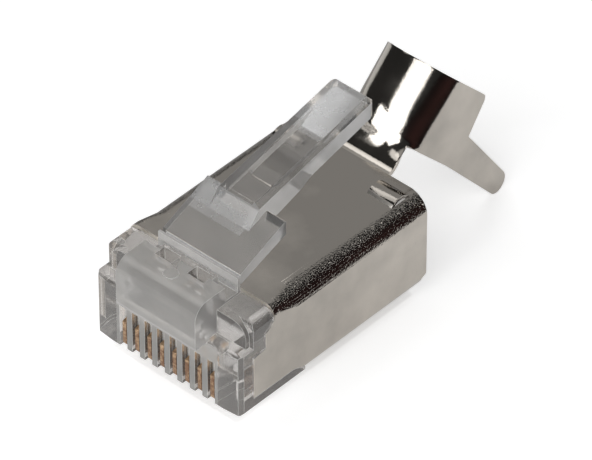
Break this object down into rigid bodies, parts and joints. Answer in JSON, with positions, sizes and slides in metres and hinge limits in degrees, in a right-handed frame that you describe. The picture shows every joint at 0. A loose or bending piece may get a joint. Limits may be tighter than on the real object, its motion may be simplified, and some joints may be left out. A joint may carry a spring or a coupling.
{
  "type": "shielded ethernet plug",
  "caption": "Clear eight-way network plug in a folded metal shield, with a spring latch on top and a bent-up tail that crimps round the cable.",
  "frame": {"origin": "on the centreline, where the mating face of the comb of contacts meets the bottom plane", "axes": "+Y from the mating face towards the cable, +Z from the contact side up to the latch, +X to the right seen from behind the cable"},
  "size_m": [0.0116, 0.0299, 0.013],
  "materials": {
    "clear_plastic": "clear moulded plastic with frosted patches",
    "guide_plastic": "milky clear moulded plastic",
    "plated_sheet": "bright nickel plate on folded sheet",
    "contact_gold": "gold plate over copper alloy"
  },
  "bodies": {
    "root": {"housing": "clear_plastic", "shield": "plated_sheet", "wire_guide": "guide_plastic", "contact_1": "contact_gold", "contact_2": "contact_gold", "contact_3": "contact_gold", "contact_4": "contact_gold", "contact_5": "contact_gold", "contact_6": "contact_gold", "contact_7": "contact_gold", "contact_8": "contact_gold"},
    "latch": {"latch_lever": "clear_plastic"}
  },
  "joints": [
    {"name": "latch_press", "type": "hinge", "parent": "root", "child": "latch", "pos_m": [0, 0.003, 0.00688], "axis": [-1, 0, 0], "range_deg": [0, 15], "stiffness_Nm_per_rad": 0.1}
  ]
}
